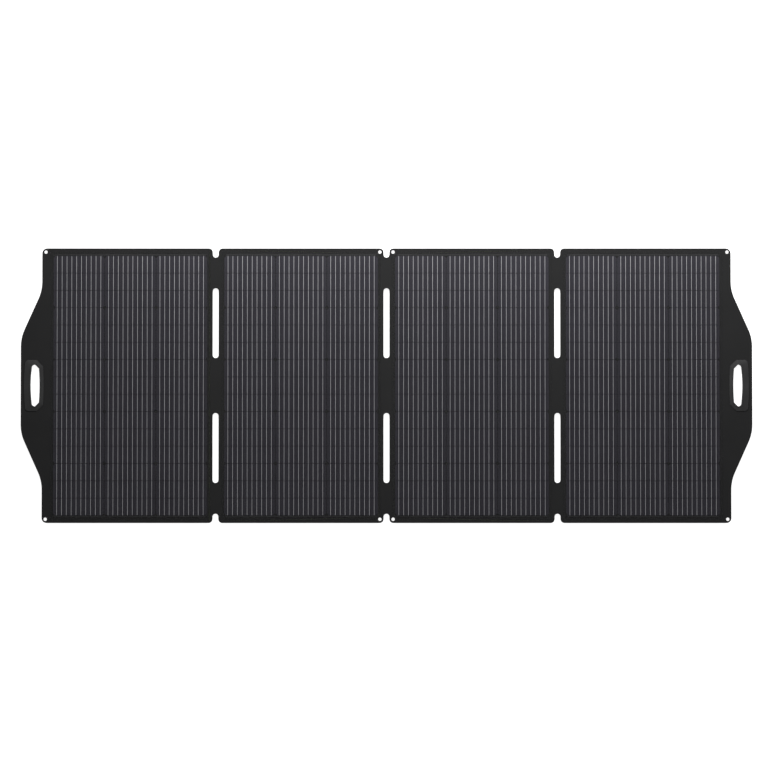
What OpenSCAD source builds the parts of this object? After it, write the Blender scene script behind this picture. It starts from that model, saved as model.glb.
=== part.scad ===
// Portable folding solar panel: four cell sections joined by cloth hinges, lying open, face up.
// X runs along the row of sections, Y up the sections, Z out of the cell side. Z = 0 is the ground.

/* [Panel] */
// Distance from one fold to the next
fold_pitch = 612; // [600:1:640]
// Height of the whole panel
panel_h = 984; // [976:1:1010]
// Half of the width between the two straight side edges
side_x = 1234; // [1232:1:1240]
// Radius of the four outside corners
corner_r = 18; // [6:1:24]
// Half of the width of the cloth hinge at each fold
web_half = 16; // [14:1:18]

/* [Layers] */
// Room under the back cloth for the legs and the junction box
back_z = 10.4; // [10.4:0.1:12]
// Thickness of one layer of cloth
cloth_t = 0.8; // [0.6:0.1:1]
// Thickness of the glass-fibre backing board
board_t = 2; // [1.6:0.1:2.4]
// Thickness of the clear front laminate
film_t = 1.2; // [1.2:0.1:1.5]

/* [Cells] */
// Side of one square cell
cell_w = 182; // [182:1:182]
// Distance between cell columns
col_pitch = 184; // [183.5:0.1:184]
// Distance between the third-cell wafers of a column
wafer_pitch = 62; // [61.8:0.1:62]
// Ribbons on each cell
ribbon_count = 10; // [9:1:12]
// Width of one ribbon
ribbon_w = 1.2; // [0.8:0.1:1.6]

/* [Fold hinges] */
// Width of the slots and of the end notches
slot_w = 21; // [18:1:24]
// Length of each slot
slot_l = 250; // [200:1:260]
// Height of the middle of a slot above the panel's middle
slot_y = 223.5; // [200:0.5:240]
// Depth of the end notches
notch_d = 33; // [20:1:40]

/* [Side handles] */
// Half of the width to the outside of the handle flaps
flap_x = 1310; // [1305:1:1320]
// Half of the height of a flap where it leaves the side edge
flap_root = 341; // [330:1:345]
// Half of the height of a flap at its outside
flap_tip = 172; // [160:1:175]
// Radius of the soft bends in the outline of a flap
flap_r = 150; // [80:1:150]
// Where the flap bends, just outside the board
flap_bend_x = 1210; // [1209:0.5:1211]
// Middle of the hand hole
grip_x = 1258.8; // [1257:0.1:1260]

/* [Legs] */
// Diameter of the steel rod
rod_d = 8; // [7:0.5:8]
// Half of the distance between the two long rods of a leg
leg_half = 170; // [150:1:190]
// Height of the leg pivots above the panel's middle
pivot_y = 130; // [100:1:160]
// Length of a leg
leg_l = 560; // [500:5:570]
// Bend radius of the corners at the foot of the leg
leg_r = 32; // [24:1:40]

/* [Junction box and pocket] */
// Width of the junction box
box_w = 128; // [110:1:140]
// Height of the junction box
box_h = 92; // [80:1:100]
// Width of the cable pocket
pocket_w = 300; // [240:5:310]
// Height of the cable pocket
pocket_h = 190; // [150:5:200]

/* [Hidden] */
$fn = 48;

eps = 0.01;
// one layer after another, from the back to the face
board_z = back_z + cloth_t;
face_cloth_z = board_z + board_t;
film_z = face_cloth_z + cloth_t;
face_z = film_z + film_t;
cell_z = film_z + 0.4;
cell_t = 0.3;
ribbon_t = 0.2;

half_h = panel_h / 2;
notch_mouth_r = 14;
columns = 3;
wafers = 15;
array_h = wafers * wafer_pitch;
wafer_h = cell_w / 3;
cell_chamfer = 7;
ribbon_pitch = cell_w / (ribbon_count + 0.5);
ribbon_l = array_h - 2;
bus_w = 5;

// the middle of the cells of each section, and the X range of each section's rigid part
section_x = [for (n = [1:4]) (n - 2.5) * fold_pitch];
section_lo = [-flap_bend_x + 1, -fold_pitch + web_half, web_half, fold_pitch + web_half];
section_hi = [-fold_pitch - web_half, -web_half, fold_pitch - web_half, flap_bend_x - 1];
board_half_w = fold_pitch / 2 - web_half - 3;
board_half_h = half_h - 8;

eyelet_d = 12;
eyelet_flange_r = 7.5;
eyelet_y = half_h - 13.5;
eyelet_outer_x = side_x - 13;
eyelet_inner_x = 23.6;
// the eyelets of each section: outside corners on 1 and 4, beside the middle fold on 2 and 3
eyelet_x = [-eyelet_outer_x, -eyelet_inner_x, eyelet_inner_x, eyelet_outer_x];

rod_z = 5;
foot_d = 9.6;
run_gap = 0.05;
pivot_stub = 16;
pivot_bend_r = 10;
foot_y = pivot_y - leg_l;

// the pocket for the core, drawn in from the flap's edge
core_inset = 8;
core_r = 40;

// sizes of the hand hole and of the ring round it: u is outwards, v along the side edge
grip_half = 74.5;
grip_ring_half = 91.7;
grip_collar = 3;
grip_chamfer = 14;
grip_flange_t = 2.4;
grip_lip_t = 1.2;
grip_screw_uv = [[28, -58], [28, 58], [-24, -42], [-24, 42]];
grip_screw_d = 3;
screw_head_d = 5.6;
screw_socket_d = 2.4;
screw_socket_depth = 0.7;

// ---------- outlines ----------

function unit(v) = v / norm(v);

// points of a rounded corner at p, between the neighbours a and b
function round_corner(a, p, b, r, steps = 6) =
  let (
    u = unit(a - p),
    v = unit(b - p),
    half_angle = acos(u * v) / 2,
    centre = p + unit(u + v) * r / sin(half_angle),
    from = p + u * r / tan(half_angle) - centre,
    to = p + v * r / tan(half_angle) - centre,
    start = atan2(from.y, from.x),
    turn = (atan2(to.y, to.x) - start + 540) % 360 - 180
  )
  [for (i = [0:steps]) centre + r * [cos(start + turn * i / steps), sin(start + turn * i / steps)]];

// a closed outline from [x, y, corner radius] triples
function rounded(corners) = [
  for (i = [0:len(corners) - 1])
    let (
      n = len(corners),
      c = corners[i],
      a = corners[(i + n - 1) % n],
      b = corners[(i + 1) % n]
    )
    each c[2] > 0
      ? round_corner([a.x, a.y], [c.x, c.y], [b.x, b.y], c[2])
      : [[c.x, c.y]]
];

// half of a flap's height at x, for an outline drawn in by inset
function flap_edge(x, inset) =
  flap_root - (x - side_x) * (flap_root - flap_tip) / (flap_x - side_x) - inset * 2.43;

// the outline of a right-hand flap, drawn in by inset and starting at x0
function flap_points(x0, inset, r) = rounded([
  [x0, -flap_edge(x0, inset), 0],
  [flap_x - inset, -flap_edge(flap_x - inset, inset), r],
  [flap_x - inset, flap_edge(flap_x - inset, inset), r],
  [x0, flap_edge(x0, inset), 0]
]);

// the whole right half of the silhouette, without holes
function half_outline() = rounded([
  [0, -half_h, 0],
  [side_x, -half_h, corner_r],
  [side_x, -flap_root, flap_r],
  [flap_x, -flap_tip, flap_r],
  [flap_x, flap_tip, flap_r],
  [side_x, flap_root, flap_r],
  [side_x, half_h, corner_r],
  [0, half_h, 0]
]);

// a loop with a bowed outside and inside; grow moves it out all round
function loop_points(half, grow, out_end, in_end, chamfer, out_r) =
  let (
    out_u = out_end + grow,
    in_u = -in_end - grow,
    h = half + grow,
    out_bow = 4.6,
    in_bow = 2.4,
    straight = h - out_r,
    low = h - chamfer - grow * 0.4,
    c = chamfer + grow * 0.2
  )
  rounded([
    [in_u, low, 4],
    [in_u + c, h, 3],
    [out_u, h, out_r],
    each [for (i = [-3:3]) [out_u + out_bow * (1 - pow(i / 4, 2)), -i / 4 * straight, 0]],
    [out_u, -h, out_r],
    [in_u + c, -h, 3],
    [in_u, -low, 4],
    each [for (i = [-2:2]) [in_u - in_bow * (1 - pow(i / 3, 2)), i / 3 * low, 0]]
  ]);

module hand_hole(grow = 0) {
  polygon(loop_points(grip_half, grow, 11.7, 14.4, grip_chamfer, 11));
}

module grip_ring() {
  polygon(loop_points(grip_ring_half, 0, 35.1, 28.5, 23, 13));
}

module slot(length, width) {
  square([width, length - width], center = true);
  for (end = [-1, 1])
    translate([0, end * (length - width) / 2])
      circle(d = width);
}

// the cuts at one fold: two slots, and a notch with a rounded mouth at each end
module fold_cuts() {
  mouth = slot_w / 2 + notch_mouth_r;
  for (end = [-1, 1]) {
    translate([0, end * slot_y])
      slot(slot_l, slot_w);
    translate([0, end * half_h])
      slot(2 * notch_d, slot_w);
    difference() {
      translate([0, end * half_h])
        square([2 * mouth, 2 * notch_mouth_r], center = true);
      for (side = [-1, 1])
        translate([side * mouth, end * (half_h - notch_mouth_r)])
          circle(r = notch_mouth_r);
    }
  }
}

module silhouette() {
  difference() {
    union() {
      polygon(half_outline());
      mirror([1, 0])
        polygon(half_outline());
    }
    for (fold = [-1:1])
      translate([fold * fold_pitch, 0])
        fold_cuts();
  }
}

// the part of the silhouette between two X places
module strip(x0, x1) {
  intersection() {
    silhouette();
    translate([x0, -panel_h])
      square([x1 - x0, 2 * panel_h]);
  }
}

module slab(z0, z1) {
  translate([0, 0, z0])
    linear_extrude(z1 - z0)
      children();
}

module eyelet_holes(n, d) {
  for (end = [-1, 1])
    translate([eyelet_x[n - 1], end * eyelet_y, back_z - 1])
      cylinder(d = d, h = 8);
}

module board_outline(n, inset = 0) {
  w = 2 * (board_half_w - inset);
  h = 2 * (board_half_h - inset);
  translate([section_x[n - 1], 0])
    square([w, h], center = true);
}

// ---------- sections ----------

// back cloth with a shallow tray that holds the board
module back_cloth(n) {
  color([0.13, 0.13, 0.135])
    difference() {
      slab(back_z, face_cloth_z)
        strip(section_lo[n - 1], section_hi[n - 1]);
      slab(board_z, face_cloth_z + 1)
        board_outline(n);
      if (n == 2 || n == 3)
        eyelet_holes(n, eyelet_d + 1.6);
    }
}

module board(n) {
  color([0.35, 0.4, 0.28])
    difference() {
      slab(board_z, face_cloth_z)
        board_outline(n);
      if (n == 2 || n == 3)
        eyelet_holes(n, eyelet_d + 4);
    }
}

module face_cloth(n) {
  color([0.12, 0.12, 0.125])
    difference() {
      slab(face_cloth_z, film_z)
        strip(section_lo[n - 1], section_hi[n - 1]);
      if (n == 2 || n == 3)
        eyelet_holes(n, eyelet_d + 1.6);
    }
}

// one wafer is a third of a square cell, with the cell's corner chamfers at one end or neither
module wafer(place) {
  c = cell_chamfer;
  w = cell_w / 2;
  h = wafer_h / 2;
  top = place == 0 ? c : 0;
  low = place == 2 ? c : 0;
  points = [
    [-w + low, -h], [w - low, -h], [w, -h + low],
    [w, h - top], [w - top, h], [-w + top, h],
    [-w, h - top], [-w, -h + low]
  ];
  polygon([for (i = [0:7]) if (points[i] != points[(i + 1) % 8]) points[i]]);
}

function column_x(n, column) = section_x[n - 1] + (column - (columns - 1) / 2) * col_pitch;

function wafer_y(row) = (row - (wafers - 1) / 2) * wafer_pitch;

module cells(n) {
  color([0.1, 0.1, 0.13])
    for (column = [0:columns - 1], row = [0:wafers - 1])
      translate([column_x(n, column), wafer_y(row), 0])
        slab(cell_z, cell_z + cell_t)
          wafer(2 - row % 3);
}

// the ribbons that join the wafers of each column, and a bus ribbon across both ends of the columns
module ribbons(n) {
  z = cell_z + cell_t;
  color([0.62, 0.62, 0.64]) {
    for (column = [0:columns - 1], i = [0:ribbon_count - 1])
      translate([column_x(n, column) + (i - (ribbon_count - 1) / 2) * ribbon_pitch, 0, z + ribbon_t / 2])
        cube([ribbon_w, ribbon_l, ribbon_t], center = true);
    for (end = [-1, 1])
      translate([section_x[n - 1], end * (array_h / 2 + bus_w / 2 + 1), z + ribbon_t / 2])
        cube([columns * col_pitch - 12, bus_w, ribbon_t], center = true);
  }
}

// clear front laminate, hollow underneath where the cells and ribbons lie
module film(n) {
  pocket_x = columns * col_pitch + 2;
  pocket_y = array_h + 2 * bus_w + 6;
  color([0.2, 0.2, 0.23, 0.3])
    difference() {
      slab(film_z, face_z)
        board_outline(n);
      translate([section_x[n - 1], 0, cell_z + (cell_t + ribbon_t) / 2])
        cube([pocket_x, pocket_y, cell_t + ribbon_t], center = true);
      if (n == 2 || n == 3)
        eyelet_holes(n, 2 * eyelet_flange_r + 1);
    }
}

// rolled metal rings with a flange on both sides
module eyelets(n) {
  flange_t = 0.6;
  color([0.16, 0.16, 0.17])
    for (end = [-1, 1])
      translate([eyelet_x[n - 1], end * eyelet_y, 0])
        difference() {
          union() {
            translate([0, 0, back_z - flange_t])
              cylinder(r = eyelet_flange_r, h = flange_t);
            translate([0, 0, back_z - eps])
              cylinder(d = eyelet_d + 1.6, h = film_z - back_z + 2 * eps);
            translate([0, 0, film_z])
              cylinder(r = eyelet_flange_r, h = flange_t);
          }
          translate([0, 0, back_z - 2])
            cylinder(d = eyelet_d, h = 10);
        }
}

// ---------- fold hinges ----------

// one thickness of cloth with the slots and notches, and two flat cables behind its middle
module web(n) {
  gap = 0.3;
  fold = (n - 2) * fold_pitch;
  color([0.11, 0.11, 0.115])
    slab(face_cloth_z, film_z)
      strip(fold - web_half + gap, fold + web_half - gap);
  color([0.08, 0.08, 0.08])
    for (end = [-1, 1])
      translate([fold, end * 30, face_cloth_z - 0.5])
        cube([2 * (web_half - gap), 12, 1], center = true);
}

// ---------- side handles ----------

// moves a right-hand handle piece to its side
module on_side(side) {
  if (side == "left")
    mirror([1, 0, 0])
      children();
  else
    children();
}

module at_grip() {
  translate([grip_x, 0, 0])
    children();
}

module grip_screw_holes(d) {
  at_grip()
    for (uv = grip_screw_uv)
      translate([uv.x, uv.y, back_z - 1])
        cylinder(d = d, h = 8);
}

// cloth sleeve of the side border and handle flap, open where the core slides in
module flap_cover(side) {
  n = side == "left" ? 1 : 4;
  color([0.12, 0.12, 0.125])
    difference() {
      on_side(side)
        slab(back_z, film_z)
          strip(flap_bend_x - 0.7, flap_x + 1);
      on_side(side)
        slab(board_z, face_cloth_z)
          polygon(flap_points(flap_bend_x - 2, core_inset, core_r));
      on_side(side)
        slab(back_z - 1, film_z + 1)
          translate([grip_x, 0])
            hand_hole(grip_collar + 0.3);
      on_side(side)
        grip_screw_holes(grip_screw_d + 1);
      eyelet_holes(n, eyelet_d + 1.6);
    }
}

// springy plastic sheet inside the flap
module flap_core(side) {
  color([0.25, 0.25, 0.26])
    on_side(side)
      difference() {
        slab(board_z, face_cloth_z)
          polygon(flap_points(flap_bend_x + 7, core_inset + 0.2, core_r));
        slab(board_z - 1, face_cloth_z + 1)
          translate([grip_x, 0])
            hand_hole(grip_collar + 0.3);
        grip_screw_holes(grip_screw_d + 1);
      }
}

// moulded ring on the face of the flap, with a raised lip and a collar down into the hand hole
module grip_front(side) {
  middle_z = (back_z + film_z) / 2;
  color([0.2, 0.2, 0.21])
    on_side(side)
      difference() {
        at_grip()
          union() {
            slab(film_z, film_z + grip_flange_t)
              grip_ring();
            slab(film_z + grip_flange_t - eps, film_z + grip_flange_t + grip_lip_t)
              hand_hole(4);
            slab(middle_z, film_z + eps)
              hand_hole(grip_collar);
          }
        at_grip()
          slab(back_z, face_z + 10)
            hand_hole();
        at_grip()
          for (uv = grip_screw_uv)
            translate([uv.x, uv.y, film_z - 1])
              cylinder(d = grip_screw_d, h = 2.6);
      }
}

module grip_back(side) {
  middle_z = (back_z + film_z) / 2;
  color([0.2, 0.2, 0.21])
    on_side(side)
      difference() {
        at_grip()
          union() {
            slab(back_z - grip_flange_t, back_z)
              grip_ring();
            slab(back_z - grip_flange_t - grip_lip_t, back_z - grip_flange_t + eps)
              hand_hole(4);
            slab(back_z - eps, middle_z)
              hand_hole(grip_collar);
          }
        at_grip()
          slab(0, face_z)
            hand_hole();
        at_grip()
          for (uv = grip_screw_uv)
            translate([uv.x, uv.y, back_z - grip_flange_t]) {
              translate([0, 0, -1])
                cylinder(d = screw_head_d + 0.4, h = 2.2);
              cylinder(d = grip_screw_d, h = 4);
            }
      }
}

// the hexagon socket in a screw head whose face is at Z = 0
module screw_socket() {
  translate([0, 0, -1])
    cylinder(d = screw_socket_d, h = screw_socket_depth + 1, $fn = 6);
}

module grip_screws(side) {
  head_t = 1.1;
  color([0.45, 0.45, 0.46])
    on_side(side)
      at_grip()
        for (uv = grip_screw_uv)
          translate([uv.x, uv.y, back_z - grip_flange_t + 0.1])
            difference() {
              union() {
                cylinder(d = screw_head_d, h = head_t);
                translate([0, 0, head_t - eps])
                  cylinder(d = grip_screw_d, h = grip_flange_t - 0.1 - head_t + film_z - back_z + 1.6);
              }
              screw_socket();
            }
}

// ---------- legs ----------

module elbow(r) {
  rotate_extrude(angle = 90)
    translate([r, 0])
      circle(d = rod_d);
}

// half of a U-shaped leg: pivot stub, bend, long rod, bend and half of the foot bar
module half_leg() {
  rod_r = rod_d / 2;
  long_top = pivot_y - pivot_bend_r;
  long_low = foot_y + leg_r;
  translate([leg_half - pivot_bend_r - pivot_stub, pivot_y, rod_z])
    rotate([0, 90, 0])
      cylinder(r = rod_r, h = pivot_stub);
  translate([leg_half - pivot_bend_r, long_top, rod_z])
    elbow(pivot_bend_r);
  translate([leg_half, long_low, rod_z])
    rotate([-90, 0, 0])
      cylinder(r = rod_r, h = long_top - long_low);
  translate([leg_half - leg_r, long_low, rod_z])
    rotate([0, 0, -90])
      elbow(leg_r);
  translate([0, foot_y, rod_z])
    rotate([0, 90, 0])
      cylinder(r = rod_r, h = leg_half - leg_r);
}

module leg(n) {
  color([0.24, 0.24, 0.25])
    translate([section_x[n - 1], 0, 0]) {
      half_leg();
      mirror([1, 0, 0])
        half_leg();
    }
}

// two rubber sleeves on the foot bar
module leg_feet(n) {
  foot_l = 64;
  foot_x = 96;
  color([0.07, 0.07, 0.07])
    translate([section_x[n - 1], foot_y, rod_z])
      for (side = [-1, 1])
        translate([side * foot_x - foot_l / 2, 0, 0])
          rotate([0, 90, 0])
            difference() {
              cylinder(d = foot_d, h = foot_l);
              translate([0, 0, -1])
                cylinder(d = rod_d, h = foot_l + 2);
            }
}

// two pivot blocks and the keeper that the foot bar presses into, each on its base plate
module leg_mounts(n) {
  block = [13, 16];
  keeper = [30, 18];
  plate_l = 30;
  plate_t = 2.4;
  inner_lug = 5;
  outer_lug = 2;
  slot_gap = 0.3;
  bore_x = leg_half - pivot_bend_r - pivot_stub;
  color([0.15, 0.15, 0.155])
    translate([section_x[n - 1], 0, 0]) {
      for (side = [0, 1])
        mirror([side, 0, 0])
          difference() {
            translate([bore_x, pivot_y, 0]) {
              translate([0, -block.y / 2, 0])
                cube([block.x, block.y, back_z]);
              translate([-inner_lug, -plate_l / 2, back_z - plate_t])
                cube([inner_lug + block.x + outer_lug, plate_l, plate_t]);
            }
            translate([bore_x - 2 * inner_lug, pivot_y, rod_z])
              rotate([0, 90, 0])
                cylinder(d = rod_d + 2 * run_gap, h = block.x + 4 * inner_lug);
          }
      difference() {
        translate([-keeper.x / 2, foot_y, 0]) {
          translate([0, -keeper.y / 2, 0])
            cube([keeper.x, keeper.y, back_z]);
          translate([0, -plate_l / 2, back_z - plate_t])
            cube([keeper.x, plate_l, plate_t]);
        }
        translate([-keeper.x, foot_y - rod_d / 2 - slot_gap, -1])
          cube([2 * keeper.x, rod_d + 2 * slot_gap, 1 + rod_z + rod_d / 2 + 0.2]);
      }
    }
}

// ---------- junction box and pocket ----------

junction_at = [section_x[3] - 168, 330, 0];
junction_lid_z = 0.6;
junction_wall = 2;
junction_split = 2.8;
junction_screw_at = [for (x = [-1, 1], y = [-1, 1]) [x * (box_w / 2 - 7), y * (box_h / 2 - 7)]];
junction_floor_t = 1.6;
gland_z = 6.2;
gland_body_d = 6.6;
cable_bore_d = 5;
pocket_at = [section_x[3] + 78, 330, 0];
pocket_t = 4.4;
zip_y = pocket_at.y + pocket_h / 2 - 26;
zip_travel = 240;

module junction_outline(inset) {
  polygon(rounded([
    for (c = [[-1, -1], [1, -1], [1, 1], [-1, 1]])
      [c.x * (box_w / 2 - inset), c.y * (box_h / 2 - inset), 8 - inset]
  ]));
}

module junction_base() {
  color([0.1, 0.1, 0.105])
    translate(junction_at)
      difference() {
        union() {
          difference() {
            slab(junction_split, back_z)
              junction_outline(0);
            slab(junction_split - 1, back_z - junction_floor_t)
              junction_outline(junction_wall);
          }
          for (at = junction_screw_at)
            translate([at.x, at.y, junction_split])
              cylinder(d = 7, h = back_z - junction_split - 1);
        }
        for (at = junction_screw_at)
          translate([at.x, at.y, junction_split - 1])
            cylinder(d = 2.9, h = 6);
        translate([0, box_h / 2 - 6, gland_z])
          rotate([-90, 0, 0])
            cylinder(d = gland_body_d + 0.1, h = 10);
      }
}

module junction_lid() {
  color([0.1, 0.1, 0.105])
    translate(junction_at)
      difference() {
        union() {
          slab(junction_lid_z, junction_split)
            junction_outline(0);
          slab(junction_split - eps, junction_split + 0.8)
            difference() {
              junction_outline(junction_wall + 0.1);
              junction_outline(junction_wall + 1.4);
            }
        }
        for (at = junction_screw_at)
          translate([at.x, at.y, 0]) {
            cylinder(d = 3.4, h = 6);
            cylinder(d = screw_head_d + 0.6, h = 1.9);
            translate([0, 0, junction_split])
              cylinder(d = 7.4, h = 2);
          }
        translate([-gland_body_d, box_h / 2 - 6, junction_split])
          cube([2 * gland_body_d, 6, 2]);
      }
}

module junction_screws() {
  color([0.6, 0.6, 0.62])
    translate(junction_at)
      for (at = junction_screw_at)
        translate([at.x, at.y, junction_lid_z + 0.1])
          difference() {
            union() {
              cylinder(d = screw_head_d, h = 1.2);
              translate([0, 0, 1.2 - eps])
                cylinder(d = 2.9, h = 5);
            }
            screw_socket();
          }
}

// cable outlet on the box's upper side: threaded body, hexagon nut and rubber seal lip in one
module junction_gland() {
  body_in = 4;
  nut_l = 5;
  lip_l = 9;
  color([0.07, 0.07, 0.07])
    translate([junction_at.x, junction_at.y + box_h / 2, gland_z])
      rotate([-90, 0, 0])
        difference() {
          union() {
            translate([0, 0, -body_in])
              cylinder(d = gland_body_d, h = body_in + eps);
            cylinder(d = 9.2, h = nut_l, $fn = 6);
            translate([0, 0, nut_l - eps])
              cylinder(d = 7.4, h = lip_l + eps);
          }
          translate([0, 0, -body_in - 1])
            cylinder(d = cable_bore_d, h = body_in + nut_l + lip_l + 2);
        }
}

// three bypass diodes on their terminal strip
module bypass_diodes() {
  strip_size = [88, 12, 1];
  diode_size = [12, 10, 3.2];
  floor_z = back_z - junction_floor_t;
  color([0.06, 0.06, 0.06])
    translate(junction_at) {
      translate([-strip_size.x / 2, -strip_size.y / 2, floor_z - strip_size.z])
        cube(strip_size);
      for (i = [-1:1])
        translate([i * 28 - diode_size.x / 2, -diode_size.y / 2, floor_z - strip_size.z - diode_size.z + eps])
          cube(diode_size);
    }
}

// flat cloth pocket, empty, with its zip across the upper part
module cable_pocket() {
  color([0.12, 0.12, 0.125])
    translate(pocket_at) {
      slab(back_z - pocket_t, back_z)
        polygon(rounded([
          for (c = [[-1, -1], [1, -1], [1, 1], [-1, 1]])
            [c.x * pocket_w / 2, c.y * pocket_h / 2, 16]
        ]));
      translate([0, zip_y - pocket_at.y, back_z - pocket_t - 0.4])
        cube([zip_travel + 28, 5, 0.8 + eps], center = true);
    }
}

// slider and pull tab, at the closed end of the zip
module zip_slider() {
  z = back_z - pocket_t - 0.8;
  color([0.5, 0.5, 0.52])
    translate([pocket_at.x - zip_travel / 2, zip_y, 0]) {
      slab(z - 2.1, z - 0.1)
        polygon(rounded([[-6, -4, 2], [6, -5, 2], [6, 5, 2], [-6, 4, 2]]));
      difference() {
        slab(z - 3.2, z - 2.1 + eps)
          polygon(rounded([[-4, -3, 1], [24, -3, 2.5], [24, 3, 2.5], [-4, 3, 1]]));
        translate([20, 0, z - 4])
          cylinder(d = 3, h = 3);
      }
    }
}

// ---------- assembly ----------

for (n = [1:4]) {
  back_cloth(n);
  board(n);
  face_cloth(n);
  cells(n);
  ribbons(n);
  film(n);
  eyelets(n);
  leg(n);
  leg_feet(n);
  leg_mounts(n);
}
for (n = [1:3])
  web(n);
for (side = ["left", "right"]) {
  flap_cover(side);
  flap_core(side);
  grip_front(side);
  grip_back(side);
  grip_screws(side);
}
junction_base();
junction_lid();
junction_gland();
junction_screws();
bypass_diodes();
cable_pocket();
zip_slider();
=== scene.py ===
"""Looks of the folding solar panel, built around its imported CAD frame.

Blender objects are in metres. Outlines are worked out in millimetres and scaled when a mesh is made.
"""
import math

import bmesh
import bpy
import numpy as np
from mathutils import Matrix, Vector
from mathutils.geometry import delaunay_2d_cdt


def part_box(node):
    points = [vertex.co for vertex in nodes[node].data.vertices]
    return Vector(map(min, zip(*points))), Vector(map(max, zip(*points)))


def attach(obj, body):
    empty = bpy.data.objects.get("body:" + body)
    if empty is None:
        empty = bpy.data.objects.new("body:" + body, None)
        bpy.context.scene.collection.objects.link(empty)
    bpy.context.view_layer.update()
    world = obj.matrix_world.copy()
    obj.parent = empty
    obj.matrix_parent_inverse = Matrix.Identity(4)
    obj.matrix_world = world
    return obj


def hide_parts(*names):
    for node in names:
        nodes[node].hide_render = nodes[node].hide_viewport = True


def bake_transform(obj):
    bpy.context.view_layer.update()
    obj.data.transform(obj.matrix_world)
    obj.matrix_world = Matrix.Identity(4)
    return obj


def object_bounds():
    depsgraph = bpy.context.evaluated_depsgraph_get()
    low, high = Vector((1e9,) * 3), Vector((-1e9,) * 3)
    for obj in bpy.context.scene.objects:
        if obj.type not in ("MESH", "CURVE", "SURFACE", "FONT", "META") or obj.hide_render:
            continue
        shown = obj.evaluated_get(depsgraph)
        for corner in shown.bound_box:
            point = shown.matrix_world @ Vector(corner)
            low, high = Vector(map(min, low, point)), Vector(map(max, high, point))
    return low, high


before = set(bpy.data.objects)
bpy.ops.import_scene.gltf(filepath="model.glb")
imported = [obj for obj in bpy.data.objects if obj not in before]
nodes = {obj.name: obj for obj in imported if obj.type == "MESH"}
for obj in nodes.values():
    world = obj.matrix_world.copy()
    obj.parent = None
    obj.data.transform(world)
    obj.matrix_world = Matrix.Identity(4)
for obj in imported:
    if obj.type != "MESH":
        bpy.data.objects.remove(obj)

MM = 0.001
CAD_BOX = [list(corner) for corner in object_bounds()]


# ---------- camera, floor and light ----------

def make_camera():
    """A long lens that looks down on the face, from slightly towards the lower edge."""
    distance = 8.0
    seen_width = 2.7565
    tilt = math.radians(1.2)
    aim = Vector((-0.0053, 0.0018, CAD_BOX[1][2]))
    data = bpy.data.cameras.new("camera")
    data.sensor_width = 36.0
    data.lens = data.sensor_width * distance / seen_width
    data.clip_end = 100.0
    camera = bpy.data.objects.new("camera", data)
    bpy.context.scene.collection.objects.link(camera)
    camera.location = aim + distance * Vector((0, -math.sin(tilt), math.cos(tilt)))
    camera.rotation_euler = (tilt, 0, 0)
    bpy.context.scene.camera = camera


def make_area_light(name, place, aim, size, power):
    data = bpy.data.lights.new(name, "AREA")
    data.shape = "RECTANGLE"
    data.size, data.size_y = size
    data.energy = power
    light = bpy.data.objects.new(name, data)
    bpy.context.scene.collection.objects.link(light)
    light.location = place
    light.rotation_euler = (Vector(aim) - Vector(place)).to_track_quat("-Z", "Y").to_euler()


def make_world(lighting):
    """A plain world, pure white in view, which lights the object with this strength."""
    world = bpy.data.worlds.new("studio")
    bpy.context.scene.world = world
    world.use_nodes = True
    background = world.node_tree.nodes["Background"]
    background.inputs["Color"].default_value = (1, 1, 1, 1)
    seen = world.node_tree.nodes.new("ShaderNodeLightPath").outputs["Is Camera Ray"]
    strength = world.node_tree.nodes.new("ShaderNodeMapRange")
    strength.inputs["To Min"].default_value = lighting
    world.node_tree.links.new(seen, strength.inputs["Value"])
    world.node_tree.links.new(strength.outputs[0], background.inputs["Strength"])


def make_floor(size, glow):
    """White paper that glows, so that it stays white away from the light."""
    bpy.ops.mesh.primitive_plane_add(size=size, location=(0, 0, 0))
    floor = bpy.context.object
    floor.name = "floor"
    paper = Shader("floor_paper", Roughness=0.9, Emission_Color=(1, 1, 1, 1), Emission_Strength=glow)
    paper.colour(paper.noise(3.0, 2), (0.86, 0.86, 0.86), (0.88, 0.88, 0.88))
    floor.data.materials.append(paper.material)


def make_studio():
    """A long soft light above the upper edge, in a white room."""
    bpy.context.scene.view_settings.view_transform = "Standard"
    make_world(0.27)
    make_area_light("key", (0.3, 1.3, 1.2), (0.3, 0.1, 0), (3.2, 0.5), 46)
    make_floor(60, 0.88)


# ---------- materials ----------

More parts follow.
